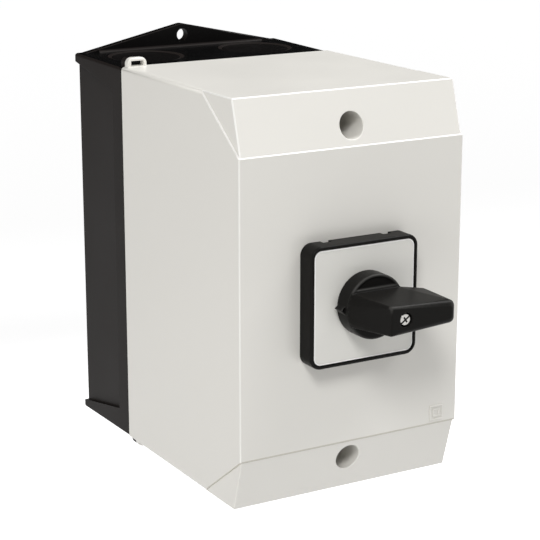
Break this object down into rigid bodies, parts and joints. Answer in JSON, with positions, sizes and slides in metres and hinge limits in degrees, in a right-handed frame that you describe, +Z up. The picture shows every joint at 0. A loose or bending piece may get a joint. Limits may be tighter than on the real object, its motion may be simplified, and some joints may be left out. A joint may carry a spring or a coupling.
{
  "type": "rotary isolator switch",
  "caption": "Enclosed rotary isolator: grey deep cover on a black wall base, square bezel with a bar knob that turns a cam switch on a rail inside.",
  "frame": {"origin": "centre of the rear face, on the wall", "axes": "+Y into the wall, +X to the right seen from the front, +Z up; the front faces -Y"},
  "size_m": [0.1, 0.181, 0.1798],
  "materials": {
    "base_black": "fine moulded texture, satin",
    "cover_grey": "fine moulded texture, satin",
    "trim_black": "moulded, satin",
    "legend_grey": "smooth, satin",
    "zinc_steel": "zinc plated, bright",
    "brass": "turned",
    "copper": "stamped copper alloy with silver contact faces",
    "seal_rubber": "matt elastomer",
    "switch_moulding": "thermoset moulding, matt",
    "white_nylon": "natural nylon, satin",
    "spring_steel": "drawn wire and strip"
  },
  "bodies": {
    "base": {"base": "base_black", "thread_inserts": "brass", "din_rail": "zinc_steel", "rail_screws": "zinc_steel", "earth_terminal": "brass", "earth_screw": "zinc_steel", "switch_foot": "switch_moulding", "latch_spring": "spring_steel", "latch_housing": "switch_moulding", "detent_springs": "spring_steel", "tie_bolts": "zinc_steel", "tie_nuts": "zinc_steel", "contact_chamber_1": "switch_moulding", "contact_chamber_2": "switch_moulding", "contact_chamber_3": "switch_moulding", "fixed_contacts_1": "copper", "fixed_contacts_2": "copper", "fixed_contacts_3": "copper", "terminal_screws_1": "zinc_steel", "terminal_screws_2": "zinc_steel", "terminal_screws_3": "zinc_steel", "contact_spring_1_left": "spring_steel", "contact_spring_1_right": "spring_steel", "contact_spring_2_left": "spring_steel", "contact_spring_2_right": "spring_steel", "contact_spring_3_left": "spring_steel", "contact_spring_3_right": "spring_steel"},
    "cover": {"cover": "cover_grey", "cover_seal": "seal_rubber", "cover_screws": "zinc_steel", "screw_washers": "seal_rubber", "bezel_frame": "trim_black", "bezel_seal": "seal_rubber", "bezel_screws": "zinc_steel", "legend_plate": "legend_grey"},
    "handle": {"handle": "trim_black", "handle_screw": "zinc_steel", "shaft_seal": "seal_rubber", "retaining_ring": "zinc_steel", "drive_shaft": "zinc_steel"},
    "rotor": {"star_wheel": "white_nylon", "cam_shaft": "zinc_steel", "coupling_socket": "white_nylon", "cam_1": "white_nylon", "cam_2": "white_nylon", "cam_3": "white_nylon"},
    "rail_latch": {"rail_latch": "white_nylon"},
    "contact_1_left": {"plunger_1_left": "white_nylon", "bridge_1_left": "copper"},
    "contact_1_right": {"plunger_1_right": "white_nylon", "bridge_1_right": "copper"},
    "contact_2_left": {"plunger_2_left": "white_nylon", "bridge_2_left": "copper"},
    "contact_2_right": {"plunger_2_right": "white_nylon", "bridge_2_right": "copper"},
    "contact_3_left": {"plunger_3_left": "white_nylon", "bridge_3_left": "copper"},
    "contact_3_right": {"plunger_3_right": "white_nylon", "bridge_3_right": "copper"}
  },
  "joints": [
    {"name": "cover_off", "type": "slide", "parent": "base", "child": "cover", "axis": [0, -1, 0], "range_m": [0, 0.12]},
    {"name": "handle_turn", "type": "hinge", "parent": "cover", "child": "handle", "pos_m": [0, -0.16, 0], "axis": [0, 1, 0], "range_deg": [0, 90]},
    {"name": "rotor_turn", "type": "hinge", "parent": "base", "child": "rotor", "pos_m": [0, -0.05, 0], "axis": [0, 1, 0], "range_deg": [0, 90], "deforming": ["detent_springs"]},
    {"name": "rail_latch_pull", "type": "slide", "parent": "base", "child": "rail_latch", "axis": [0, 0, -1], "range_m": [0, 0.004], "stiffness_N_per_m": 400, "springref_m": -0.002, "deforming": ["latch_spring"]},
    {"name": "contact_1_left_close", "type": "slide", "parent": "base", "child": "contact_1_left", "axis": [1, 0, 0], "range_m": [0, 0.0025], "deforming": ["contact_spring_1_left"]},
    {"name": "contact_1_right_close", "type": "slide", "parent": "base", "child": "contact_1_right", "axis": [-1, 0, 0], "range_m": [0, 0.0025], "deforming": ["contact_spring_1_right"]},
    {"name": "contact_2_left_close", "type": "slide", "parent": "base", "child": "contact_2_left", "axis": [1, 0, 0], "range_m": [0, 0.0025], "deforming": ["contact_spring_2_left"]},
    {"name": "contact_2_right_close", "type": "slide", "parent": "base", "child": "contact_2_right", "axis": [-1, 0, 0], "range_m": [0, 0.0025], "deforming": ["contact_spring_2_right"]},
    {"name": "contact_3_left_close", "type": "slide", "parent": "base", "child": "contact_3_left", "axis": [1, 0, 0], "range_m": [0, 0.0025], "deforming": ["contact_spring_3_left"]},
    {"name": "contact_3_right_close", "type": "slide", "parent": "base", "child": "contact_3_right", "axis": [-1, 0, 0], "range_m": [0, 0.0025], "deforming": ["contact_spring_3_right"]}
  ],
  "couplings": [
    {"joint": "rotor_turn", "follows": "handle_turn", "ratio": 1},
    {"joint": "contact_1_left_close", "follows": "handle_turn", "m_per_rad": 0.0015915},
    {"joint": "contact_1_right_close", "follows": "handle_turn", "m_per_rad": 0.0015915},
    {"joint": "contact_2_left_close", "follows": "handle_turn", "m_per_rad": 0.0015915},
    {"joint": "contact_2_right_close", "follows": "handle_turn", "m_per_rad": 0.0015915},
    {"joint": "contact_3_left_close", "follows": "handle_turn", "m_per_rad": 0.0015915},
    {"joint": "contact_3_right_close", "follows": "handle_turn", "m_per_rad": 0.0015915}
  ]
}
